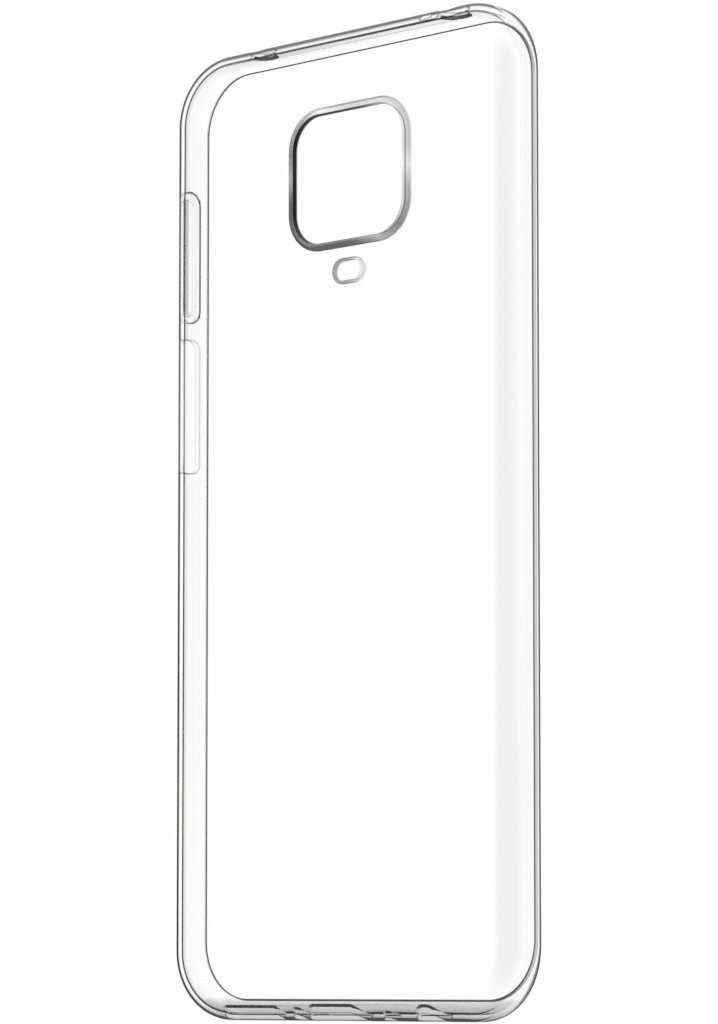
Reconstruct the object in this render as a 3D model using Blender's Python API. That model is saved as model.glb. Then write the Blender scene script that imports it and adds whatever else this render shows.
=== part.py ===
"""Clear moulded phone case, standing upright with its back facing -Y.

The origin is the middle of the back panel's inner face, where the phone's back rests. X runs across
the case, Y from the back towards the phone's screen, and Z up along the length. Lengths are in metres.
"""

import math

import bmesh
import bpy
from mathutils import Vector

# Driving dimensions
PHONE_WIDTH = 0.0761
PHONE_HEIGHT = 0.1654
WALL = 0.0012
PANEL = 0.0008
CASE_DEPTH = 0.0086
CORNER_RADIUS = 0.0118
BACK_ROUNDING = 0.0046
FRONT_ROUNDING = 0.0020
GAP = 0.0003

# Where the front curl is split from the wall, and where the lip ends, round the front rounding
WALL_END_ANGLE = math.radians(32)
LIP_START_ANGLE = math.radians(41)
LIP_END_ANGLE = math.radians(70)
LIP_THICKNESS = 0.0009
LIP_CHIN = 0.0017  # how much wider the lip is along the bottom than at the sides
LIP_BROW = 0.00065  # how much wider it is along the top

# Camera window and flash hole, through the back panel
WINDOW_X = 0.0036
WINDOW_TOP = 0.01455
WINDOW_WIDTH = 0.0252
WINDOW_HEIGHT = 0.02235
WINDOW_RADIUS = 0.0058
WINDOW_RIM = 0.0011
WINDOW_RIM_RISE = 0.0005
FLASH_TOP = 0.0404
FLASH_WIDTH = 0.0061
FLASH_HEIGHT = 0.0034
FLASH_RIM = 0.0005
FLASH_RIM_RISE = 0.0003

# Side controls, measured down from the case's top edge, on the -X wall
VOLUME_TOP = 0.02265
VOLUME_LENGTH = 0.0231
VOLUME_WIDTH = 0.0047
VOLUME_Y = 0.0036
VOLUME_PAD_INSET = 0.0012
VOLUME_PAD_RISE = 0.0006
VOLUME_PAD_THICKNESS = 0.0013
VOLUME_WEB_DEPTH = 0.00065
VOLUME_WEB_THICKNESS = 0.00045
POWER_TOP = 0.0489
POWER_LENGTH = 0.0235
POWER_LOW_Y = 0.0002
POWER_HIGH_Y = 0.00595
POWER_RADIUS = 0.0018

# Holes through the end walls: name, middle X, length along X, lowest Y, highest Y
BOTTOM_PORTS = (
    ("speaker", -0.0203, 0.0132, 0.0008, 0.0034),
    ("microphone", -0.0097, 0.0027, 0.0010, 0.0040),
    ("charging", -0.0013, 0.0128, 0.0006, 0.0053),
    ("second_microphone", 0.0103, 0.0027, 0.0016, 0.0044),
    ("headphone", 0.0194, 0.0060, 0.0006, 0.0058),
)
TOP_PORTS = (
    ("top_microphone", -0.0203, 0.0044, 0.0016, 0.0056),
    ("infrared", 0.0234, 0.0054, 0.0012, 0.0060),
    ("notch", 0.0199, 0.0024, 0.0002, 0.0010),
)

CORNER_STEPS = 8
BACK_STEPS = 6
FRONT_STEPS = 3
CUT_MARGIN = 0.002

HALF_WIDTH = PHONE_WIDTH / 2 + WALL
HALF_HEIGHT = PHONE_HEIGHT / 2 + WALL
BACK_Y = -PANEL
FRONT_Y = CASE_DEPTH - PANEL
CLEAR = (0.93, 0.94, 0.95, 1.0)


def clear_scene():
    for old in list(bpy.data.objects):
        bpy.data.objects.remove(old, do_unlink=True)


def clear_plastic(name, roughness=0.08):
    """Soft clear plastic, a material of its own for each piece."""
    material = bpy.data.materials.new(name)
    material.use_nodes = True
    shader = material.node_tree.nodes["Principled BSDF"]
    shader.inputs["Base Color"].default_value = CLEAR
    shader.inputs["Roughness"].default_value = roughness
    shader.inputs["Metallic"].default_value = 0.0
    shader.inputs["Transmission Weight"].default_value = 0.9
    shader.inputs["IOR"].default_value = 1.49
    return material


def rounded_outline(half_u, half_v, radius, steps=CORNER_STEPS):
    """Points round a rounded rectangle centred on the origin, anticlockwise."""
    points = []
    for quarter in range(4):
        start = quarter * math.pi / 2
        sign_u = 1 if quarter in (0, 3) else -1
        sign_v = 1 if quarter in (0, 1) else -1
        centre_u = sign_u * (half_u - radius)
        centre_v = sign_v * (half_v - radius)
        for step in range(steps + 1):
            angle = start + step * math.pi / 2 / steps
            points.append((centre_u + radius * math.cos(angle), centre_v + radius * math.sin(angle)))
    return [p for i, p in enumerate(points) if math.dist(p, points[i - 1]) > 1e-7]


def placed(axis, u, v, level):
    """A point given across and up an outline, and at a level along the axis that the outline faces."""
    if axis == "X":
        return Vector((level, u, v))
    if axis == "Y":
        return Vector((u, level, v))
    return Vector((u, v, level))


def finish_object(name, mesh_builder, location=(0, 0, 0), material=None):
    """Turns a bmesh into a scene object whose faces point outwards."""
    bmesh.ops.recalc_face_normals(mesh_builder, faces=mesh_builder.faces)
    mesh = bpy.data.meshes.new(name)
    mesh_builder.to_mesh(mesh)
    mesh_builder.free()
    piece = bpy.data.objects.new(name, mesh)
    piece.location = location
    bpy.context.scene.collection.objects.link(piece)
    if material is not None:
        mesh.materials.append(material)
        mesh.shade_smooth()
        mesh.set_sharp_from_angle(angle=math.radians(35))
    return piece


def stack(name, axis, half_u, half_v, radius, layers, location=(0, 0, 0), material=None):
    """A solid with an outline's shape at each (inset, level) layer and a flat cap at both ends."""
    builder = bmesh.new()
    rings = []
    for inset, level in layers:
        outline = rounded_outline(half_u - inset, half_v - inset, radius - inset)
        rings.append([builder.verts.new(placed(axis, u, v, level)) for u, v in outline])
    for lower, upper in zip(rings, rings[1:]):
        for i in range(len(lower)):
            builder.faces.new((lower[i - 1], lower[i], upper[i], upper[i - 1]))
    builder.faces.new(rings[0])
    builder.faces.new(rings[-1])
    return finish_object(name, builder, location, material)


def ring(name, axis, half_u, half_v, radius, profile, location=(0, 0, 0), material=None):
    """A closed profile of (inset, level, share) points carried round a rounded outline.

    The share, from 0 to 1, says how much of the lip's extra width along its ends a point takes.
    """
    builder = bmesh.new()
    rings = []
    for inset, level, share in profile:
        outline = rounded_outline(half_u - inset, half_v - inset, radius - inset)
        outline = [(u, v + (LIP_CHIN if v < 0 else -LIP_BROW) * share) for u, v in outline]
        rings.append([builder.verts.new(placed(axis, u, v, level)) for u, v in outline])
    for j, current in enumerate(rings):
        previous = rings[j - 1]
        for i in range(len(current)):
            builder.faces.new((previous[i - 1], previous[i], current[i], current[i - 1]))
    return finish_object(name, builder, location, material)


def cut(target, cutter):
    """Subtracts a cutter, which stays in the scene as a hidden guide."""
    cutter.hide_render = True
    cutter.display_type = "WIRE"
    boolean = target.modifiers.new(cutter.name, "BOOLEAN")
    boolean.operation = "DIFFERENCE"
    boolean.solver = "EXACT"
    boolean.object = cutter


def back_arc(angle, depth):
    """A point on the back rounding, an angle round from the back face, a depth under the surface."""
    radius = BACK_ROUNDING - depth
    return (BACK_ROUNDING - radius * math.sin(angle), BACK_Y + BACK_ROUNDING - radius * math.cos(angle))


def front_arc(angle, depth):
    """A point on the front rounding, an angle round from the side, a depth under the surface."""
    radius = FRONT_ROUNDING - depth
    return (FRONT_ROUNDING - radius * math.cos(angle), FRONT_Y - FRONT_ROUNDING + radius * math.sin(angle))


def wall_profile():
    """The wall's section, as thick as the panel round its back rounding and thicker up the side."""
    outer, inner = [], []
    for step in range(BACK_STEPS + 1):
        share = step / BACK_STEPS
        angle = share * math.pi / 2
        outer.append(back_arc(angle, 0))
        inner.append(back_arc(angle, PANEL + (WALL - PANEL) * share**2))
    for step in range(FRONT_STEPS + 1):
        angle = step / FRONT_STEPS * WALL_END_ANGLE
        outer.append(front_arc(angle, 0))
        inner.append(front_arc(angle, WALL))
    return [(inset, level, 0) for inset, level in outer + inner[::-1]]


def lip_profile():
    """The lip's section, which curls over the phone's front edge and thins towards its end."""
    outer, inner = [], []
    for step in range(FRONT_STEPS + 1):
        share = step / FRONT_STEPS
        angle = LIP_START_ANGLE + share * (LIP_END_ANGLE - LIP_START_ANGLE)
        outer.append((*front_arc(angle, 0), share))
        inner.append((*front_arc(angle, WALL + (LIP_THICKNESS - WALL) * share), share))
    return outer + inner[::-1]


def window_centre():
    return (WINDOW_X, 0, HALF_HEIGHT - WINDOW_TOP - WINDOW_HEIGHT / 2)


def flash_centre():
    return (WINDOW_X, 0, HALF_HEIGHT - FLASH_TOP - FLASH_HEIGHT / 2)


def volume_centre():
    return (-HALF_WIDTH, VOLUME_Y, HALF_HEIGHT - VOLUME_TOP - VOLUME_LENGTH / 2)


def make_back_panel():
    inset = BACK_ROUNDING + GAP
    panel = stack(
        "back_panel", "Y", HALF_WIDTH, HALF_HEIGHT, CORNER_RADIUS,
        [(inset, BACK_Y), (inset, 0)], material=clear_plastic("panel_plastic"),
    )
    reach = [(0, BACK_Y - CUT_MARGIN), (0, CUT_MARGIN)]
    edge = WINDOW_RIM + GAP
    cut(panel, stack(
        "window_cutter", "Y", WINDOW_WIDTH / 2 + edge, WINDOW_HEIGHT / 2 + edge,
        WINDOW_RADIUS + edge, reach, window_centre(),
    ))
    edge = FLASH_RIM + GAP
    cut(panel, stack(
        "flash_cutter", "Y", FLASH_WIDTH / 2 + edge, FLASH_HEIGHT / 2 + edge,
        FLASH_HEIGHT / 2 + edge, reach, flash_centre(),
    ))


def make_guard(name, width, height, radius, thickness, rise, centre):
    """A raised guard ring round a hole in the back, with its outer edges eased."""
    ease = thickness / 4
    top = BACK_Y - rise
    profile = [
        (0, 0, 0), (0, top + ease, 0), (ease, top, 0),
        (thickness - ease, top, 0), (thickness, top + ease, 0), (thickness, 0, 0),
    ]
    ring(
        name, "Y", width / 2 + thickness, height / 2 + thickness, radius + thickness,
        profile, centre, clear_plastic(name + "_plastic"),
    )


def cut_port(frame, side, name, x, length, low_y, high_y):
    """A rounded slot through the top wall (side 1) or the bottom wall (side -1)."""
    levels = [(0, side * (HALF_HEIGHT - BACK_ROUNDING)), (0, side * (HALF_HEIGHT + CUT_MARGIN))]
    width = high_y - low_y
    cut(frame, stack(
        name + "_cutter", "Z", length / 2, width / 2, min(length, width) / 2, levels,
        (x, (low_y + high_y) / 2, 0),
    ))


def make_side_frame():
    frame = ring(
        "side_frame", "Y", HALF_WIDTH, HALF_HEIGHT, CORNER_RADIUS, wall_profile(),
        material=clear_plastic("frame_plastic"),
    )
    for port in BOTTOM_PORTS:
        cut_port(frame, -1, *port)
    for port in TOP_PORTS:
        cut_port(frame, 1, *port)

    through_wall = [(0, -CUT_MARGIN), (0, BACK_ROUNDING)]
    cut(frame, stack(
        "volume_cutter", "X", VOLUME_WIDTH / 2, VOLUME_LENGTH / 2, VOLUME_WIDTH / 2,
        through_wall, volume_centre(),
    ))
    power_centre = (
        -HALF_WIDTH,
        (POWER_LOW_Y + POWER_HIGH_Y) / 2,
        HALF_HEIGHT - POWER_TOP - POWER_LENGTH / 2,
    )
    cut(frame, stack(
        "power_cutter", "X", (POWER_HIGH_Y - POWER_LOW_Y) / 2, POWER_LENGTH / 2, POWER_RADIUS,
        through_wall, power_centre,
    ))


def make_front_lip():
    ring(
        "front_lip", "Y", HALF_WIDTH, HALF_HEIGHT, CORNER_RADIUS, lip_profile(),
        material=clear_plastic("lip_plastic"),
    )


def make_volume_controls():
    """The pad that is pressed, and the thin web in the wall's opening that it is moulded into."""
    pad_u = VOLUME_WIDTH / 2 - VOLUME_PAD_INSET
    pad_v = VOLUME_LENGTH / 2 - VOLUME_PAD_INSET
    ease = pad_u / 4
    top = -VOLUME_PAD_RISE
    stack(
        "volume_button", "X", pad_u, pad_v, pad_u,
        [(ease, top), (0, top + ease), (0, top + VOLUME_PAD_THICKNESS)],
        volume_centre(), clear_plastic("button_plastic"),
    )
    web_low = VOLUME_WEB_DEPTH
    web_high = web_low + VOLUME_WEB_THICKNESS
    width = VOLUME_PAD_INSET - 2 * GAP
    ring(
        "volume_web", "X", VOLUME_WIDTH / 2 - GAP, VOLUME_LENGTH / 2 - GAP, VOLUME_WIDTH / 2 - GAP,
        [(0, web_low, 0), (width, web_low, 0), (width, web_high, 0), (0, web_high, 0)],
        volume_centre(), clear_plastic("web_plastic"),
    )


clear_scene()
make_back_panel()
make_side_frame()
make_front_lip()
make_guard(
    "camera_rim", WINDOW_WIDTH, WINDOW_HEIGHT, WINDOW_RADIUS, WINDOW_RIM, WINDOW_RIM_RISE,
    window_centre(),
)
make_guard(
    "flash_rim", FLASH_WIDTH, FLASH_HEIGHT, FLASH_HEIGHT / 2, FLASH_RIM, FLASH_RIM_RISE,
    flash_centre(),
)
make_volume_controls()
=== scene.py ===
import math

import bmesh
import bpy
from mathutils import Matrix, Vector


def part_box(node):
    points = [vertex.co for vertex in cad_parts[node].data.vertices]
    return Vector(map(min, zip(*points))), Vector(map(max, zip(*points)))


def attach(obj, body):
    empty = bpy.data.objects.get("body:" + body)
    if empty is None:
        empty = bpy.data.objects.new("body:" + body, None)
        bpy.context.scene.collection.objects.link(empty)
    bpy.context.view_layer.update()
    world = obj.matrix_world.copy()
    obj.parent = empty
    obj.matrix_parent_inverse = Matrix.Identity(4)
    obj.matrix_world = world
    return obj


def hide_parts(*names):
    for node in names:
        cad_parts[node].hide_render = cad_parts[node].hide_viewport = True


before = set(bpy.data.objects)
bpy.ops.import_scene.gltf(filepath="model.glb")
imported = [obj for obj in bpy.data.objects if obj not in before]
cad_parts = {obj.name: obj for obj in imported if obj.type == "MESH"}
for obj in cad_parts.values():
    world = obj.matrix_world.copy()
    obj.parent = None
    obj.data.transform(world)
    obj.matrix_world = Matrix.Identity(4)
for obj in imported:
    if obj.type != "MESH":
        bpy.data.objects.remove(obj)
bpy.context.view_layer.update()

# ---------------------------------------------------------------- places, in metres, read from the frame
FRAME_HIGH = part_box("side_frame")[1]
LIP_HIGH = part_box("front_lip")[1]
PANEL_LOW, PANEL_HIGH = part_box("back_panel")
GUARD_LOW, GUARD_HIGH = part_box("camera_rim")
FLASH_LOW, FLASH_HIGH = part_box("flash_rim")
PAD_LOW, PAD_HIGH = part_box("volume_button")

# The lip ends short of the top of its arc, so the arc's top lies a little in front of the CAD's lip
ARC_SHORTFALL = 0.0001

HALF_WIDTH = FRAME_HIGH[0]
HALF_HEIGHT = FRAME_HIGH[2]
BACK_Y = PANEL_LOW[1]
INSIDE_Y = PANEL_HIGH[1]
FRONT_Y = LIP_HIGH[1] + ARC_SHORTFALL
PAD_HALF_Y = (PAD_HIGH[1] - PAD_LOW[1]) / 2
PAD_HALF_Z = (PAD_HIGH[2] - PAD_LOW[2]) / 2
PAD_CENTRE = (0, (PAD_LOW[1] + PAD_HIGH[1]) / 2, (PAD_LOW[2] + PAD_HIGH[2]) / 2)

# ---------------------------------------------------------------- the moulding, in metres
PANEL = INSIDE_Y - BACK_Y
WALL = 0.0012
CORNER_RADIUS = 0.0118
BACK_ROUNDING = 0.0046
FRONT_ROUNDING = 0.0020
LIP_END_ANGLE = math.radians(70)
LIP_THICKNESS = 0.0009

# How much wider the lip is along the bottom and along the top than at the sides
LIP_CHIN = 0.0017
LIP_BROW = 0.00065

# How far along a rounding, from 0 to 1, the lip starts to widen and one skin gives way to the next
WIDENING_START = 0.375
BACK_SKIN_END = 0.9
INNER_SKIN_END = 0.85
FRONT_SKIN_START = 0.42

# Holes through the end walls: middle X, length along X, lowest Y, highest Y
BOTTOM_PORTS = (
    (-0.0203, 0.0132, 0.0008, 0.0034),
    (-0.0097, 0.0027, 0.0010, 0.0040),
    (-0.0013, 0.0128, 0.0006, 0.0053),
    (0.0103, 0.0027, 0.0016, 0.0044),
    (0.0194, 0.0060, 0.0006, 0.0058),
)
TOP_PORTS = (
    (-0.0203, 0.0044, 0.0016, 0.0056),
    (0.0234, 0.0054, 0.0012, 0.0060),
    (0.0199, 0.0024, 0.0002, 0.0010),
)

# A hole narrower than NOTCH_WIDTH is a shallow notch, cut NOTCH_REACH deep from the case's end
NOTCH_WIDTH = 0.001
NOTCH_REACH = 0.0020

# The cutout over the power key: the distance of its upper end from the top edge, and its size
POWER_TOP = 0.0489
POWER_LENGTH = 0.0235
POWER_LOW_Y = 0.0007
POWER_HIGH_Y = 0.00595
POWER_RADIUS = 0.0018

# The opening round the volume pad, and the web inside it
VOLUME_WIDTH = 0.0047
VOLUME_INSET = 0.0012
WEB_DEPTH = 0.00065
WEB_THICKNESS = 0.00045
WEB_GAP = 0.00015
WEB_ROUNDING = 0.0002

# The pad: its dome, how far along its depth the straight sides end, and its eased inner edge as
# (inset, distance from the inner face)
PAD_DOME = 0.00045
PAD_STRAIGHT_END = 0.8
PAD_INNER_EDGE = ((0.00008, 0.00003), (0.00015, 0.0))

# The guards: the widths of their rims, and the corner radius and the taper of the window's bore
WINDOW_RIM = 0.0011
FLASH_RIM = 0.0005
WINDOW_RADIUS = 0.0058
WINDOW_TAPER = 0.0003

# How far a guard reaches over the panel round its hole, and stands out of the back before it slopes
GUARD_OVERLAP = 0.0001
GUARD_FOOT = 0.00005

# As shares of a guard's rim: where its crown starts, how round its corners are, and the depth of the
# crown and of the far edge, which aren't painted as bore
CROWN_START = 0.5
GUARD_ROUNDING = 0.3
EDGE_BAND = 0.25

CORNER_STEPS = 28
BACK_STEPS = 18
FRONT_STEPS = 14
TIP_STEPS = 6
CUTTER_STEPS = 14
GUARD_STEPS = 20
PAD_STEPS = 16
DOME_STEPS = 6
SECTION_CORNER_STEPS = 5

# A section's corner takes at most this share of each side, so that neighbouring corners don't meet
CORNER_REACH = 0.49

# How far a cutter stands out of what it cuts, and the distances that count as one point or a sliver
CUT_MARGIN = 0.002
SAME_POINT = 1e-7
MERGE_DISTANCE = 0.00005
SLIVER = 0.00002

# A cut's edge is rounded where it turns by more than CUT_EDGE_ANGLE. Edges that turn by more than a
# piece's crease, in degrees, stay sharp in the shading, and a FACE_WEIGHT past 50 favours large faces
CUT_EDGE_ANGLE = math.radians(25)
MOULDING_CREASE = 40
GUARD_CREASE = 60
PAD_CREASE = 50
FACE_WEIGHT = 60

# ---------------------------------------------------------------- material slots
(
    OUTER, INNER, TIP, PORT, KEYWAY, LINE, SOFT_LINE, WALL_OUT, WALL_IN, FRONT, INNER_FRONT, MOUTH, CRESCENT,
) = range(13)
CROWN, BORE, SLOPE, FAR_EDGE = range(4)
PAD_SKIN, PAD_INSIDE = range(2)

OUTSIDE = {OUTER, WALL_OUT, FRONT}
INSIDE = {INNER, WALL_IN, INNER_FRONT}

# The height between the power cutout and the volume pad's opening
BETWEEN_KEYS = PAD_LOW[2] - 2 * VOLUME_INSET

# Edges of the cuts that are rounded: the cut, the skins it meets, the width and the segments of the
# rounding, its own slot, and the lowest and highest Z
# The roundings' own slots carry painted dark lines, and in the ports painted shade
EASED_EDGES = (
    (KEYWAY, INSIDE, 0.00024, 3, LINE, BETWEEN_KEYS, math.inf),
    (KEYWAY, INSIDE, 0.00024, 3, SOFT_LINE, -math.inf, BETWEEN_KEYS),
    (KEYWAY, OUTSIDE, 0.00018, 3, SOFT_LINE, -math.inf, math.inf),
    (PORT, INSIDE, 0.00055, 5, CRESCENT, 0, math.inf),
    (PORT, INSIDE, 0.0003, 4, MOUTH, -math.inf, 0),
    (PORT, OUTSIDE, 0.00016, 3, LINE, -math.inf, math.inf),
)

# The part of a face's normal along a direction, past which the face counts as turned that way
MOUTH_SIDE_TURN = 0.4
FRONT_TURN = 0.14
HOLE_TURN = 0.35
AWAY_TURN = 0.3
FLAT_TURN = 0.75
INNER_FACE_TURN = 0.7


# ---------------------------------------------------------------- shapes
def rounded_outline(half_u, half_v, radius, steps):
    """Points round a rounded rectangle centred on the origin, anticlockwise."""
    points = []
    for quarter in range(4):
        sign_u = 1 if quarter in (0, 3) else -1
        sign_v = 1 if quarter in (0, 1) else -1
        centre_u = sign_u * (half_u - radius)
        centre_v = sign_v * (half_v - radius)
        for step in range(steps + 1):
            angle = (quarter + step / steps) * math.pi / 2
            points.append((centre_u + radius * math.cos(angle), centre_v + radius * math.sin(angle)))
    return [p for i, p in enumerate(points) if math.dist(p, points[i - 1]) > SAME_POINT]


def placed(axis, u, v, level):
    """The point at (u, v) across the axis and at the level along it."""
    if axis == "X":
        return Vector((level, u, v))
    if axis == "Y":
        return Vector((u, level, v))
    return Vector((u, v, level))


def add_loop(builder, axis, half_u, half_v, radius, inset, level, centre, steps, widening=0):
    """One rounded outline of vertices. Widening is the share of the lip's extra width it takes."""
    outline = rounded_outline(half_u - inset, half_v - inset, radius - inset, steps)
    return [
        builder.verts.new(
            placed(axis, u, v + (LIP_CHIN if v < 0 else -LIP_BROW) * widening, level) + Vector(centre)
        )
        for u, v in outline
    ]


def join_loops(builder, loops, closed=False, slots=None):
    """Strips of faces between neighbouring loops, and from the last to the first if closed."""
    pairs = list(zip(loops, loops[1:]))
    if closed:
        pairs.append((loops[-1], loops[0]))
    for strip, (lower, upper) in enumerate(pairs):
        for i in range(len(lower)):
            face = builder.faces.new((lower[i - 1], lower[i], upper[i], upper[i - 1]))
            face.material_index = slots[strip] if slots else 0


def to_object(name, builder, materials):
    """A piece in the scene from the builder's faces, with a material for each slot."""
    bmesh.ops.recalc_face_normals(builder, faces=builder.faces)
    mesh = bpy.data.meshes.new(name)
    builder.to_mesh(mesh)
    builder.free()
    for material in materials:
        mesh.materials.append(material)
    piece = bpy.data.objects.new(name, mesh)
    bpy.context.scene.collection.objects.link(piece)
    return piece


def stack(name, axis, half_u, half_v, radius, layers, centre, steps, materials):
    """A solid of rounded outlines at (inset, level) layers, capped at both ends."""
    builder = bmesh.new()
    loops = [
        add_loop(builder, axis, half_u, half_v, radius, inset, level, centre, steps)
        for inset, level in layers
    ]
    join_loops(builder, loops)
    builder.faces.new(loops[0])
    builder.faces.new(loops[-1])
    return to_object(name, builder, materials)


def ring(name, axis, half_u, half_v, radius, profile, centre, steps, materials):
    """A closed profile of (inset, level) points carried round a rounded outline."""
    builder = bmesh.new()
    loops = [
        add_loop(builder, axis, half_u, half_v, radius, inset, level, centre, steps)
        for inset, level in profile
    ]
    join_loops(builder, loops, closed=True)
    return to_object(name, builder, materials)


def round_corners(corners, radius):
    """Replaces each corner of a small closed section with a curve that is tangent to both sides."""
    points = []
    for i, corner in enumerate(corners):
        here = Vector(corner)
        before = Vector(corners[i - 1]) - here
        after = Vector(corners[(i + 1) % len(corners)]) - here
        reach = min(radius, before.length * CORNER_REACH, after.length * CORNER_REACH)
        start = here + before.normalized() * reach
        end = here + after.normalized() * reach
        for step in range(SECTION_CORNER_STEPS + 1):
            t = step / SECTION_CORNER_STEPS
            points.append(tuple(start * (1 - t) ** 2 + here * 2 * t * (1 - t) + end * t**2))
    return points


def back_arc(angle, depth):
    """A point of the back rounding, at a depth under the outer face."""
    radius = BACK_ROUNDING - depth
    return BACK_ROUNDING - radius * math.sin(angle), BACK_Y + BACK_ROUNDING - radius * math.cos(angle)


def front_arc(angle, depth):
    """A point of the front rounding, at a depth under the outer face."""
    radius = FRONT_ROUNDING - depth
    return FRONT_ROUNDING - radius * math.cos(angle), FRONT_Y - FRONT_ROUNDING + radius * math.sin(angle)


def lip_tip(start, end):
    """A half circle from the end of the outer skin to the end of the inner one."""
    middle = (start + end) / 2
    half = (start - end) / 2
    along = Vector((half[1], -half[0]))
    if along[0] < 0:
        along = -along
    points = []
    for step in range(1, TIP_STEPS):
        angle = step / TIP_STEPS * math.pi
        point = middle + half * math.cos(angle) + along * math.sin(angle)
        points.append((point[0], point[1], 1, TIP if step > 1 else FRONT))
    return points


def shell_section():
    """The moulding's section from the back face, round the outside and the lip, to the inner face.

    Each point is (inset, level, share of the lip's extra width, material slot of the strip before it).
    """
    outer, inner = [], []
    for step in range(BACK_STEPS + 1):
        share = step / BACK_STEPS
        angle = share * math.pi / 2
        thickness = PANEL + (WALL - PANEL) * share**2
        outer.append((*back_arc(angle, 0), 0, OUTER if share < BACK_SKIN_END else WALL_OUT))
        inner.append((*back_arc(angle, thickness), 0, INNER if share < INNER_SKIN_END else WALL_IN))
    for step in range(1, FRONT_STEPS + 1):
        share = step / FRONT_STEPS
        angle = share * LIP_END_ANGLE
        thickness = WALL + (LIP_THICKNESS - WALL) * share
        widening = max(0.0, (share - WIDENING_START) / (1 - WIDENING_START))
        in_front = share > FRONT_SKIN_START
        outer.append((*front_arc(angle, 0), widening, FRONT if in_front else WALL_OUT))
        inner.append((*front_arc(angle, thickness), widening, INNER_FRONT if in_front else WALL_IN))
    tip = lip_tip(Vector(outer[-1][:2]), Vector(inner[-1][:2]))
    return outer + tip + inner[::-1]


def cutter_box(axis, centre, half_u, half_v, radius, low, high, material):
    """A rounded block from low to high along the axis, in the material of the walls that it cuts."""
    layers = [(0, low), (0, high)]
    return stack("cutter", axis, half_u, half_v, radius, layers, centre, CUTTER_STEPS, [material])


def bake_modifiers(piece):
    """Puts the mesh that the modifiers make in place of the piece's own."""
    depsgraph = bpy.context.evaluated_depsgraph_get()
    baked = bpy.data.meshes.new_from_object(piece.evaluated_get(depsgraph), depsgraph=depsgraph)
    piece.modifiers.clear()
    old = piece.data
    piece.data = baked
    baked.name = piece.name
    bpy.data.meshes.remove(old)


def subtract(piece, cutters):
    """Cuts every cutter out of the piece and deletes them. The cut faces keep the cutters' material."""
    for cutter in cutters:
        boolean = piece.modifiers.new("cut", "BOOLEAN")
        boolean.operation = "DIFFERENCE"
        boolean.solver = "EXACT"
        boolean.material_mode = "TRANSFER"
        boolean.object = cutter
    bake_modifiers(piece)
    for cutter in cutters:
        bpy.data.objects.remove(cutter, do_unlink=True)


def ease_edges(piece, cut, skins, width, segments, slot, low, high):
    """Rounds the edges where a cut meets the skins, between two heights, in a slot of their own."""
    builder = bmesh.new()
    builder.from_mesh(piece.data)
    sharp = []
    for edge in builder.edges:
        height = (edge.verts[0].co.z + edge.verts[1].co.z) / 2
        if len(edge.link_faces) != 2 or not low < height < high:
            continue
        pair = {face.material_index for face in edge.link_faces}
        if cut in pair and pair & skins and edge.calc_face_angle(0) > CUT_EDGE_ANGLE:
            sharp.append(edge)
    bmesh.ops.bevel(
        builder, geom=sharp, offset=width, segments=segments, profile=0.5, affect="EDGES",
        clamp_overlap=False, material=slot,
    )
    builder.to_mesh(piece.data)
    builder.free()


def merge_slivers(piece):
    """Merges the slivers that the cuts leave."""
    builder = bmesh.new()
    builder.from_mesh(piece.data)
    bmesh.ops.remove_doubles(builder, verts=builder.verts, dist=MERGE_DISTANCE)
    bmesh.ops.dissolve_degenerate(builder, edges=builder.edges, dist=SLIVER)
    builder.to_mesh(piece.data)
    builder.free()


def paint_faces(piece, slot, chosen, among=None):
    """Gives the faces that the test picks a material slot, all of them or only those in one slot."""
    for face in piece.data.polygons:
        if among in (None, face.material_index) and chosen(face.center, face.normal):
            face.material_index = slot


def smooth(piece, crease):
    """Smooth shading, except across the edges that turn by more than the crease."""
    mesh = piece.data
    mesh.shade_smooth()
    mesh.set_sharp_from_angle(angle=math.radians(crease))
    weighted = piece.modifiers.new("weighted", "WEIGHTED_NORMAL")
    weighted.keep_sharp = True
    weighted.weight = FACE_WEIGHT


# ---------------------------------------------------------------- materials
# What the clear plastic lets through, the base colour of its gloss, and the near-black of the painted
# shade in the ports' mouths and crescents and in the camera guard's bore
CLEAR = (0.9995, 0.9995, 0.9995)
DARK = (0.04, 0.04, 0.042)
SHADE_BLACK = (0.002, 0.002, 0.002)

PLASTIC_IOR = 1.6
POLISHED = 0.06
SATIN = 0.3

# The grain: its scale for the roughness and for the bump, the lowest and highest roughness as shares
# of the given one, and the bump's strength and height
FINE_SCALE = 900
BROAD_SCALE = 55
SMOOTHEST = 0.6
ROUGHEST = 1.5
BUMP_STRENGTH = 0.04
BUMP_HEIGHT = 0.0002

# Facing (0 face on, 1 edge on) and how much gloss covers the clear plastic there
OUTER_STOPS = [(0.0, 0.13), (0.06, 0.09), (0.14, 0.0), (0.56, 0.0), (0.61, 0.12), (0.65, 0.55), (0.69, 0.95)]
INNER_STOPS = [(0.0, 0.0), (0.33, 0.0), (0.42, 0.08), (0.58, 0.11), (0.63, 0.35), (0.7, 0.9)]
WALL_STOPS = [(0.0, 0.01), (0.5, 0.02), (0.65, 0.04), (0.77, 0.05), (0.84, 0.15), (0.93, 0.7)]
FRONT_STOPS = [(0.0, 0.0), (0.4, 0.0), (0.46, 0.08), (0.54, 0.8), (1.0, 1.0)]
FRONT_INSIDE_STOPS = [(0.0, 0.0), (0.6, 0.02), (0.85, 0.06), (1.0, 0.3)]
# Painted dark line along the lip's tip, dark even face on
TIP_STOPS = [(0.0, 0.35), (0.1, 0.5), (0.22, 0.9), (1.0, 0.98)]
PORT_STOPS = [(0.0, 0.02), (0.4, 0.05), (0.6, 0.2), (0.8, 0.6)]
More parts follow.
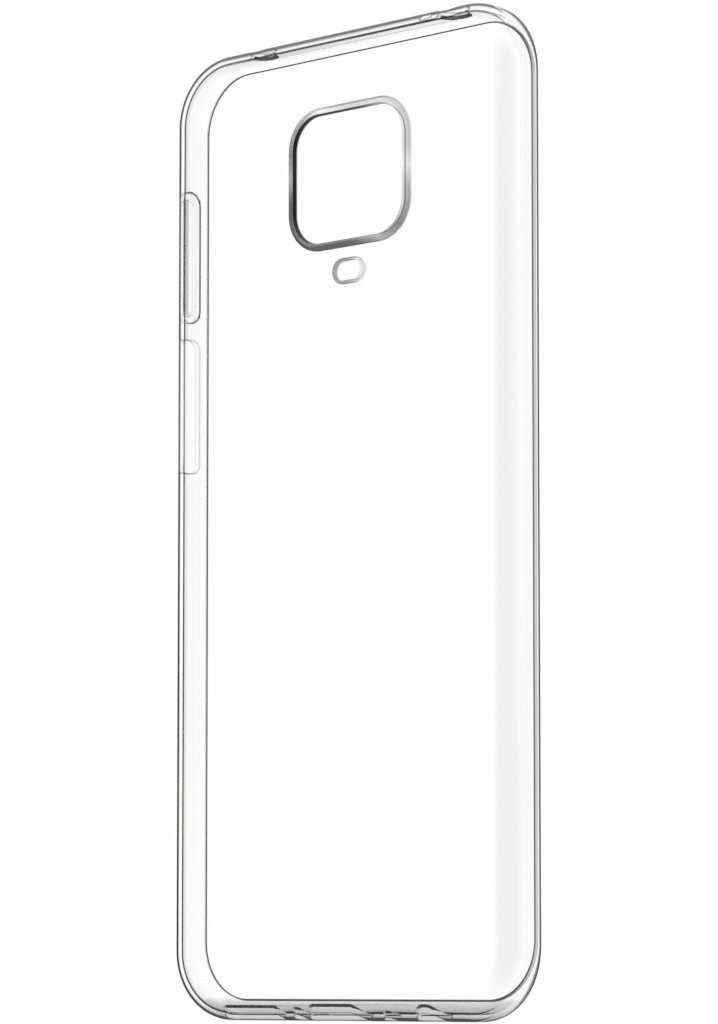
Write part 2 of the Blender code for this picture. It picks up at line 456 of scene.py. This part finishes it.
# Painted shade in the ports' mouths and the top ports' crescents, near-black even face on
MOUTH_STOPS = [(0.0, 0.97), (0.42, 0.9), (0.55, 0.3), (0.7, 0.12), (1.0, 0.3)]
CRESCENT_STOPS = [(0.0, 0.9), (1.0, 0.97)]
KEYWAY_STOPS = [(0.0, 0.01), (0.5, 0.03), (0.7, 0.2), (0.9, 0.6)]
# Painted dark lines round the cut edges and the flash guard's far edge
LINE_STOPS = [(0.0, 0.8), (0.5, 0.85), (1.0, 0.95)]
SOFT_LINE_STOPS = [(0.0, 0.25), (0.5, 0.35), (0.8, 0.6)]
NO_STOPS = [(0.0, 0.0), (1.0, 0.0)]
CROWN_STOPS = [(0.0, 0.0), (0.5, 0.0), (0.75, 0.25), (1.0, 0.5)]
# Painted shade on the camera guard's outer slope, and a painted dark line along its bore's far edge
SLOPE_STOPS = [(0.0, 0.16), (0.5, 0.12), (1.0, 0.1)]
FAR_EDGE_STOPS = [(0.0, 0.6), (1.0, 0.75)]
PAD_STOPS = [(0.0, 0.0), (0.5, 0.02), (0.65, 0.3), (0.8, 0.8)]

# Painted shade: the weights of the place along X, Y and Z in the piece's own box (0 to 1 along each),
# and the dark gloss painted on as shade at each value of the weighted sum
# Painted shade, darker towards the case's bottom edge
BOTTOM_PAINTED_SHADE = ((0, 0, 1), [
    (0.0, 0.42), (0.005, 0.3), (0.01, 0.16), (0.019, 0.08), (0.023, 0.0), (1.0, 0.0),
])
# Painted shade on the camera guard's crown and slope, darkest at the lower left, away from the light
CROWN_PAINTED_SHADE = ((0.4, 0, 0.6), [
    (0.0, 0.6), (0.22, 0.6), (0.32, 0.27), (0.42, 0.42), (0.6, 0.25), (0.69, 0.03), (0.78, 0.18), (1.0, 0.1),
])
# Painted shade in the camera guard's bore: near-black on the left, fading out to the right
BORE_PAINTED_SHADE = ((1, 0, 0), [(0.0, 1.0), (0.6, 0.95), (0.85, 0.4), (0.93, 0.03), (1.0, 0.03)])
# Painted shade on the flash guard: crown and slope darker to the left, bore darkest right of the middle
SMALL_CROWN_PAINTED_SHADE = ((1, 0, 0), [(0.0, 0.42), (0.5, 0.36), (0.8, 0.1), (1.0, 0.1)])
SMALL_BORE_PAINTED_SHADE = ((1, 0, 0), [(0.0, 0.25), (0.6, 0.6), (0.9, 0.1)])
# Painted shade on the pad's inner face, grey on the half towards the back
PAD_PAINTED_SHADE = ((0, 1, 0), [(0.0, 0.34), (0.42, 0.36), (0.52, 0.04), (1.0, 0.0)])


def node(tree, kind, location, **values):
    """A new node in the tree, with its properties set to the given values."""
    made = tree.nodes.new(kind)
    made.location = location
    for key, value in values.items():
        setattr(made, key, value)
    return made


def grey_ramp(tree, stops, location):
    """A colour ramp of greys through the (position, brightness) stops."""
    ramp = node(tree, "ShaderNodeValToRGB", location)
    elements = ramp.color_ramp.elements
    while len(elements) < len(stops):
        elements.new(0.5)
    for element, (position, value) in zip(elements, stops):
        element.position = position
        element.color = (value, value, value, 1)
    return ramp


def add_grain(tree, coords, gloss, roughness):
    """A roughness that varies finely round the given one, and a shallow broad bump."""
    fine = node(tree, "ShaderNodeTexNoise", (-650, -250))
    fine.inputs["Scale"].default_value = FINE_SCALE
    fine.inputs["Detail"].default_value = 3
    broad = node(tree, "ShaderNodeTexNoise", (-650, -500))
    broad.inputs["Scale"].default_value = BROAD_SCALE
    broad.inputs["Detail"].default_value = 2
    tree.links.new(coords.outputs["Object"], fine.inputs["Vector"])
    tree.links.new(coords.outputs["Object"], broad.inputs["Vector"])
    rough = node(tree, "ShaderNodeMapRange", (-350, -250))
    rough.inputs["To Min"].default_value = roughness * SMOOTHEST
    rough.inputs["To Max"].default_value = roughness * ROUGHEST
    tree.links.new(fine.outputs["Fac"], rough.inputs["Value"])
    tree.links.new(rough.outputs["Result"], gloss.inputs["Roughness"])
    bump = node(tree, "ShaderNodeBump", (-100, -450))
    bump.inputs["Strength"].default_value = BUMP_STRENGTH
    bump.inputs["Distance"].default_value = BUMP_HEIGHT
    tree.links.new(broad.outputs["Fac"], bump.inputs["Height"])
    tree.links.new(bump.outputs["Normal"], gloss.inputs["Normal"])


def add_painted_shade(tree, coords, cover, weights, stops):
    """Painted shade: dark gloss added by the place along the piece. Returns its total with the cover."""
    along = node(tree, "ShaderNodeVectorMath", (-600, 350), operation="DOT_PRODUCT")
    along.inputs[1].default_value = weights
    painted_shade = grey_ramp(tree, stops, (-200, 350))
    total = node(tree, "ShaderNodeMath", (340, 350), operation="ADD", use_clamp=True)
    tree.links.new(coords.outputs["Generated"], along.inputs[0])
    tree.links.new(along.outputs["Value"], painted_shade.inputs["Fac"])
    tree.links.new(painted_shade.outputs["Color"], total.inputs[0])
    tree.links.new(cover, total.inputs[1])
    return total.outputs["Value"]


def clear_plastic(name, stops, gloss_color=DARK, roughness=POLISHED, painted_shade=None):
    """Thin clear plastic: see-through face on, grey gloss edge on, and painted shade by place if given."""
    material = bpy.data.materials.new(name)
    material.use_nodes = True
    tree = material.node_tree
    tree.nodes.clear()
    output = node(tree, "ShaderNodeOutputMaterial", (900, 0))
    mix = node(tree, "ShaderNodeMixShader", (700, 0))
    clear = node(tree, "ShaderNodeBsdfTransparent", (450, -60))
    clear.inputs["Color"].default_value = (*CLEAR, 1)
    gloss = node(tree, "ShaderNodeBsdfPrincipled", (380, -200))
    gloss.inputs["Base Color"].default_value = (*gloss_color, 1)
    gloss.inputs["IOR"].default_value = PLASTIC_IOR
    facing = node(tree, "ShaderNodeLayerWeight", (-200, 100))
    facing.inputs["Blend"].default_value = 0.5
    edges = grey_ramp(tree, stops, (0, 100))
    tree.links.new(facing.outputs["Facing"], edges.inputs["Fac"])
    coords = node(tree, "ShaderNodeTexCoord", (-900, -300))
    add_grain(tree, coords, gloss, roughness)
    cover = edges.outputs["Color"]
    # Painted shade: dark gloss added by place on the piece
    if painted_shade:
        cover = add_painted_shade(tree, coords, cover, *painted_shade)
    tree.links.new(cover, mix.inputs["Fac"])
    tree.links.new(clear.outputs["BSDF"], mix.inputs[1])
    tree.links.new(gloss.outputs["BSDF"], mix.inputs[2])
    tree.links.new(mix.outputs["Shader"], output.inputs["Surface"])
    return material


# Each list is in the order of its material slots above
MOULDING = [
    # The skins, walls and fronts take painted shade along the case's bottom edge
    clear_plastic("outer_skin", OUTER_STOPS, painted_shade=BOTTOM_PAINTED_SHADE),
    clear_plastic("inner_skin", INNER_STOPS, painted_shade=BOTTOM_PAINTED_SHADE),
    # Painted dark line along the lip's tip
    clear_plastic("lip_tip", TIP_STOPS),
    clear_plastic("port_wall", PORT_STOPS),
    clear_plastic("keyway", KEYWAY_STOPS),
    # Painted dark lines round the cut edges
    clear_plastic("rim_line", LINE_STOPS),
    clear_plastic("soft_line", SOFT_LINE_STOPS),
    clear_plastic("wall_outside", WALL_STOPS, painted_shade=BOTTOM_PAINTED_SHADE),
    clear_plastic("wall_inside", WALL_STOPS, painted_shade=BOTTOM_PAINTED_SHADE),
    clear_plastic("front_skin", FRONT_STOPS, painted_shade=BOTTOM_PAINTED_SHADE),
    clear_plastic("front_inside", FRONT_INSIDE_STOPS, painted_shade=BOTTOM_PAINTED_SHADE),
    # Painted near-black shade in the ports' mouths and crescents
    clear_plastic("mouth", MOUTH_STOPS, SHADE_BLACK),
    clear_plastic("crescent", CRESCENT_STOPS, SHADE_BLACK),
]
# The guards' crowns, slopes and bores carry painted shade by place, and their far edges painted dark lines
CAMERA_GUARD = [
    clear_plastic("guard_crown", CROWN_STOPS, roughness=SATIN, painted_shade=CROWN_PAINTED_SHADE),
    clear_plastic("guard_bore", NO_STOPS, SHADE_BLACK, SATIN, BORE_PAINTED_SHADE),
    clear_plastic("guard_slope", SLOPE_STOPS, roughness=SATIN, painted_shade=CROWN_PAINTED_SHADE),
    clear_plastic("guard_edge", FAR_EDGE_STOPS, roughness=SATIN),
]
FLASH_GUARD = [
    clear_plastic("flash_crown", CROWN_STOPS, roughness=SATIN, painted_shade=SMALL_CROWN_PAINTED_SHADE),
    clear_plastic("flash_bore", NO_STOPS, roughness=SATIN, painted_shade=SMALL_BORE_PAINTED_SHADE),
    clear_plastic("flash_slope", NO_STOPS, roughness=SATIN, painted_shade=SMALL_CROWN_PAINTED_SHADE),
    clear_plastic("flash_edge", SOFT_LINE_STOPS, roughness=SATIN),
]
# The pad's inner face takes painted shade
PAD = [
    clear_plastic("pad_plastic", PAD_STOPS),
    clear_plastic("pad_inside", PAD_STOPS, painted_shade=PAD_PAINTED_SHADE),
]


# ---------------------------------------------------------------- the moulding
def wall_opening(centre_y, centre_z, half_y, half_z, radius):
    """A cutter through the left wall."""
    return cutter_box(
        "X", (-HALF_WIDTH, centre_y, centre_z), half_y, half_z, radius, -CUT_MARGIN, BACK_ROUNDING,
        MOULDING[KEYWAY],
    )


def port_cutter(side, x, length, low_y, high_y):
    """A cutter through the bottom wall (side -1) or the top wall (side 1)."""
    width = high_y - low_y
    reach = NOTCH_REACH if width < NOTCH_WIDTH else BACK_ROUNDING
    low, high = sorted((side * (HALF_HEIGHT - reach), side * (HALF_HEIGHT + CUT_MARGIN)))
    return cutter_box(
        "Z", (x, (low_y + high_y) / 2, 0), length / 2, width / 2, min(length, width) / 2,
        low, high, MOULDING[PORT],
    )


def guard_outline(low, high, rim):
    """The centre, half sizes and corner radius of a guard, from its box and its rim's width."""
    centre = ((high[0] + low[0]) / 2, 0, (high[2] + low[2]) / 2)
    half_u, half_v = (high[0] - low[0]) / 2, (high[2] - low[2]) / 2
    return centre, half_u, half_v, min(WINDOW_RADIUS + rim, half_v)


def panel_cutter(low, high, rim):
    """A cutter through the back panel, a little smaller than the guard that lines the hole."""
    centre, half_u, half_v, radius = guard_outline(low, high, rim)
    return cutter_box(
        "Y", centre, half_u - GUARD_OVERLAP, half_v - GUARD_OVERLAP, radius - GUARD_OVERLAP,
        BACK_Y - CUT_MARGIN, INSIDE_Y + CUT_MARGIN, MOULDING[KEYWAY],
    )


def moulding_cutters():
    """Cutters for the window, the flash hole, the ports, the power cutout and the pad's opening."""
    cutters = [
        panel_cutter(GUARD_LOW, GUARD_HIGH, WINDOW_RIM),
        panel_cutter(FLASH_LOW, FLASH_HIGH, FLASH_RIM),
    ]
    for port in BOTTOM_PORTS:
        cutters.append(port_cutter(-1, *port))
    for port in TOP_PORTS:
        cutters.append(port_cutter(1, *port))
    cutters.append(wall_opening(
        (POWER_LOW_Y + POWER_HIGH_Y) / 2, HALF_HEIGHT - POWER_TOP - POWER_LENGTH / 2,
        (POWER_HIGH_Y - POWER_LOW_Y) / 2, POWER_LENGTH / 2, POWER_RADIUS,
    ))
    cutters.append(wall_opening(
        PAD_CENTRE[1], PAD_CENTRE[2], VOLUME_WIDTH / 2, PAD_HALF_Z + VOLUME_INSET, VOLUME_WIDTH / 2,
    ))
    return cutters


def on_mouth_side(point, normal):
    """True on the side of a port's rounded mouth that looks left, towards -X."""
    return normal[0] < -MOUTH_SIDE_TURN


def behind_port_middle(point, normal):
    """True nearer to the back than the middle of the first hole in the top wall."""
    return point[1] < (TOP_PORTS[0][2] + TOP_PORTS[0][3]) / 2


def on_the_back(point, normal):
    """True away from the walls, where only the window and the flash hole are cut."""
    return abs(point[0]) < HALF_WIDTH - BACK_ROUNDING and abs(point[2]) < HALF_HEIGHT - BACK_ROUNDING


def rounds_to_front(point, normal):
    """True on the long sides' walls where they have begun to round towards the front."""
    return abs(normal[0]) > abs(normal[2]) and normal[1] > FRONT_TURN


def make_moulding():
    """The one clear moulding: back panel, wall and lip, with every opening cut through it."""
    builder = bmesh.new()
    loops, slots = [], []
    for inset, level, widening, slot in shell_section():
        loops.append(add_loop(
            builder, "Y", HALF_WIDTH, HALF_HEIGHT, CORNER_RADIUS, inset, level, (0, 0, 0), CORNER_STEPS,
            widening,
        ))
        slots.append(slot)
    join_loops(builder, loops, slots=slots[1:])
    builder.faces.new(loops[0]).material_index = OUTER
    builder.faces.new(loops[-1]).material_index = INNER
    moulding = to_object("case_moulding", builder, MOULDING)

    subtract(moulding, moulding_cutters())
    merge_slivers(moulding)
    for row in EASED_EDGES:
        ease_edges(moulding, *row)
    # Painted shade stays off the mouths' sides that look left and off the crescents behind the ports' middle
    paint_faces(moulding, PORT, on_mouth_side, MOUTH)
    paint_faces(moulding, PORT, behind_port_middle, CRESCENT)
    # The holes that the guards line have no painted dark line of their own
    paint_faces(moulding, OUTER, on_the_back, LINE)
    paint_faces(moulding, OUTER, on_the_back, SOFT_LINE)
    paint_faces(moulding, FRONT, rounds_to_front, WALL_OUT)
    smooth(moulding, MOULDING_CREASE)
    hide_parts("back_panel", "side_frame", "front_lip")
    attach(moulding, "case")


# ---------------------------------------------------------------- guards, pad and web
def make_guard(name, low, high, rim, taper, materials, node_name):
    """A raised guard that lines a hole in the back and stands behind it with rounded edges."""
    centre, half_u, half_v, radius = guard_outline(low, high, rim)
    corners = [
        (0, INSIDE_Y), (0, BACK_Y - GUARD_FOOT), (rim * CROWN_START, low[1]), (rim, low[1]),
        (rim + taper, INSIDE_Y),
    ]
    section = round_corners(corners, rim * GUARD_ROUNDING)
    guard = ring(name, "Y", half_u, half_v, radius, section, centre, GUARD_STEPS, materials)
    middle = Vector(centre)

    def faces_the_hole(point, normal):
        inward = middle - point
        inward[1] = 0
        clear_of_crown = point[1] > low[1] + rim * EDGE_BAND
        turned_in = normal.dot(inward.normalized()) > HOLE_TURN
        return clear_of_crown and turned_in and abs(normal[1]) < FLAT_TURN

    def faces_away(point, normal):
        outward = point - middle
        outward[1] = 0
        return normal.dot(outward.normalized()) > AWAY_TURN

    def at_the_far_edge(point, normal):
        return point[1] > INSIDE_Y - rim * EDGE_BAND

    # Painted shade on the slope and in the bore, and a painted dark line along the bore's far edge
    paint_faces(guard, SLOPE, faces_away)
    paint_faces(guard, BORE, faces_the_hole)
    paint_faces(guard, FAR_EDGE, at_the_far_edge, BORE)
    smooth(guard, GUARD_CREASE)
    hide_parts(node_name)
    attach(guard, "case")


def is_inner_face(point, normal):
    """True on the pad's flat face towards the phone."""
    return normal[0] > INNER_FACE_TURN


def make_volume_pad():
    """The raised pad over the volume keys, with a domed outer face."""
    layers = []
    for step in range(DOME_STEPS + 1):
        angle = step / DOME_STEPS * math.pi / 2
        layers.append((PAD_DOME * (1 - math.sin(angle)), PAD_LOW[0] + PAD_DOME * (1 - math.cos(angle))))
    layers.append((0, PAD_LOW[0] + (PAD_HIGH[0] - PAD_LOW[0]) * PAD_STRAIGHT_END))
    for inset, distance in PAD_INNER_EDGE:
        layers.append((inset, PAD_HIGH[0] - distance))
    pad = stack(
        "volume_pad_cover", "X", PAD_HALF_Y, PAD_HALF_Z, PAD_HALF_Y, layers, PAD_CENTRE, PAD_STEPS, PAD,
    )
    # The inner face takes the material with the painted shade
    paint_faces(pad, PAD_INSIDE, is_inner_face)
    smooth(pad, PAD_CREASE)
    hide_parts("volume_button")
    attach(pad, "volume_pad")


def make_web():
    """The thin flexible web between the wall's opening and the pad."""
    half_u = VOLUME_WIDTH / 2
    half_v = PAD_HALF_Z + VOLUME_INSET
    low = -HALF_WIDTH + WEB_DEPTH
    high = low + WEB_THICKNESS
    width = VOLUME_INSET - WEB_GAP
    section = round_corners([(0, low), (width, low), (width, high), (0, high)], WEB_ROUNDING)
    web = ring(
        "volume_pad_web", "X", half_u, half_v, half_u, section, PAD_CENTRE, PAD_STEPS, [PAD[PAD_SKIN]],
    )
    smooth(web, PAD_CREASE)
    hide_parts("volume_web")
    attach(web, "case")


make_moulding()
make_guard("camera_guard", GUARD_LOW, GUARD_HIGH, WINDOW_RIM, WINDOW_TAPER, CAMERA_GUARD, "camera_rim")
make_guard("flash_guard", FLASH_LOW, FLASH_HIGH, FLASH_RIM, 0, FLASH_GUARD, "flash_rim")
make_volume_pad()
make_web()

# ---------------------------------------------------------------- studio
FLOOR_SIZE = 6.0
FLOOR_GAP = 0.0002
FLOOR_GLOW = 0.985
FLOOR_GREYS = (0.001, 0.002)
BACKDROP_GREY = 0.985

# How far up a direction points (0 straight down, 1 straight up) and the studio's brightness there,
# in mirrored light and in soft light
MIRRORED_STOPS = [(0.0, 0.6), (0.38, 0.12), (0.5, 0.06), (0.62, 0.22), (1.0, 0.75)]
LIGHTING_STOPS = [(0.0, 0.2), (0.4, 0.35), (0.55, 0.9), (1.0, 1.3)]

# Area lights: name, place, width and height, watts
LIGHTS = (
    ("key", (-0.5, -0.7, 0.7), (0.6, 0.6), 6),
    ("fill", (0.8, -0.2, 0.4), (0.4, 0.8), 3),
)

# The camera stands to the right behind the case, a little above its bottom edge, and looks along
# CAMERA_AIM. The lens and the sensor are in millimetres
CAMERA_PLACE = (0.44596, -0.48016, -0.07731)
CAMERA_AIM = (-0.67386, 0.7345, 0.08015)
CAMERA_LENS = 138.1
CAMERA_SENSOR = 36
CAMERA_SHIFT = 0.15


def make_floor():
    """A pale floor that glows evenly, so that it meets the white backdrop without an edge."""
    builder = bmesh.new()
    bmesh.ops.create_grid(builder, x_segments=8, y_segments=8, size=FLOOR_SIZE / 2)
    material = bpy.data.materials.new("pale_floor")
    material.use_nodes = True
    tree = material.node_tree
    shader = tree.nodes["Principled BSDF"]
    shader.inputs["Roughness"].default_value = 0.8
    shader.inputs["Specular IOR Level"].default_value = 0.0
    shader.inputs["Emission Strength"].default_value = FLOOR_GLOW
    shader.inputs["Emission Color"].default_value = (1, 1, 1, 1)
    speckle = node(tree, "ShaderNodeTexNoise", (-600, 0))
    speckle.inputs["Scale"].default_value = 4
    grey = grey_ramp(tree, list(enumerate(FLOOR_GREYS)), (-300, 0))
    tree.links.new(speckle.outputs["Fac"], grey.inputs["Fac"])
    tree.links.new(grey.outputs["Color"], shader.inputs["Base Color"])
    floor = to_object("studio_floor", builder, [material])
    floor.location = (0, 0, -HALF_HEIGHT - FLOOR_GAP)
    floor.visible_glossy = False
    floor.visible_diffuse = False


def graded_background(tree, up, stops, place):
    """A grey background whose brightness depends on how far up the direction points."""
    ramp = grey_ramp(tree, stops, (0, place))
    background = node(tree, "ShaderNodeBackground", (300, place))
    tree.links.new(up.outputs["Result"], ramp.inputs["Fac"])
    tree.links.new(ramp.outputs["Color"], background.inputs["Color"])
    return background


def make_world():
    """White to the camera, a graded studio to what mirrors it, and soft light from above."""
    world = bpy.data.worlds.new("studio")
    bpy.context.scene.world = world
    world.use_nodes = True
    tree = world.node_tree
    tree.nodes.clear()
    output = node(tree, "ShaderNodeOutputWorld", (1000, 0))
    coords = node(tree, "ShaderNodeTexCoord", (-600, 0))
    split = node(tree, "ShaderNodeSeparateXYZ", (-400, 0))
    up = node(tree, "ShaderNodeMapRange", (-200, 0))
    up.inputs["From Min"].default_value = -1
    up.inputs["From Max"].default_value = 1
    tree.links.new(coords.outputs["Generated"], split.inputs["Vector"])
    tree.links.new(split.outputs["Z"], up.inputs["Value"])
    mirrored = graded_background(tree, up, MIRRORED_STOPS, -100)
    lighting = graded_background(tree, up, LIGHTING_STOPS, -400)
    seen = node(tree, "ShaderNodeBackground", (300, 150))
    seen.inputs["Color"].default_value = (BACKDROP_GREY, BACKDROP_GREY, BACKDROP_GREY, 1)
    path = node(tree, "ShaderNodeLightPath", (300, 500))
    by_diffuse = node(tree, "ShaderNodeMixShader", (600, -200))
    by_camera = node(tree, "ShaderNodeMixShader", (800, 0))
    tree.links.new(path.outputs["Is Diffuse Ray"], by_diffuse.inputs["Fac"])
    tree.links.new(mirrored.outputs["Background"], by_diffuse.inputs[1])
    tree.links.new(lighting.outputs["Background"], by_diffuse.inputs[2])
    tree.links.new(path.outputs["Is Camera Ray"], by_camera.inputs["Fac"])
    tree.links.new(by_diffuse.outputs["Shader"], by_camera.inputs[1])
    tree.links.new(seen.outputs["Background"], by_camera.inputs[2])
    tree.links.new(by_camera.outputs["Shader"], output.inputs["Surface"])


def aim(item, target):
    """Turns a light or a camera to look at the target."""
    direction = Vector(target) - item.location
    item.rotation_mode = "QUATERNION"
    item.rotation_quaternion = direction.to_track_quat("-Z", "Y")


def make_light(name, location, size, energy):
    """An area light that points at the case's middle."""
    data = bpy.data.lights.new(name, "AREA")
    data.shape = "RECTANGLE"
    data.size, data.size_y = size
    data.energy = energy
    light = bpy.data.objects.new(name, data)
    light.location = location
    bpy.context.scene.collection.objects.link(light)
    aim(light, (0, 0, 0))


def make_camera():
    """The scene's camera, from the photograph's viewing angle."""
    data = bpy.data.cameras.new("camera")
    data.lens = CAMERA_LENS
    data.sensor_width = CAMERA_SENSOR
    data.shift_y = CAMERA_SHIFT
    data.clip_start = 0.05
    data.clip_end = 20
    camera = bpy.data.objects.new("camera", data)
    camera.location = CAMERA_PLACE
    aim(camera, Vector(CAMERA_PLACE) + Vector(CAMERA_AIM))
    bpy.context.scene.collection.objects.link(camera)
    bpy.context.scene.camera = camera


make_floor()
make_world()
for light_row in LIGHTS:
    make_light(*light_row)
make_camera()

scene = bpy.context.scene
scene.view_settings.view_transform = "Standard"
# A line of sight along the wall goes through many clear skins
scene.cycles.transparent_max_bounces = 32
scene.cycles.max_bounces = 12
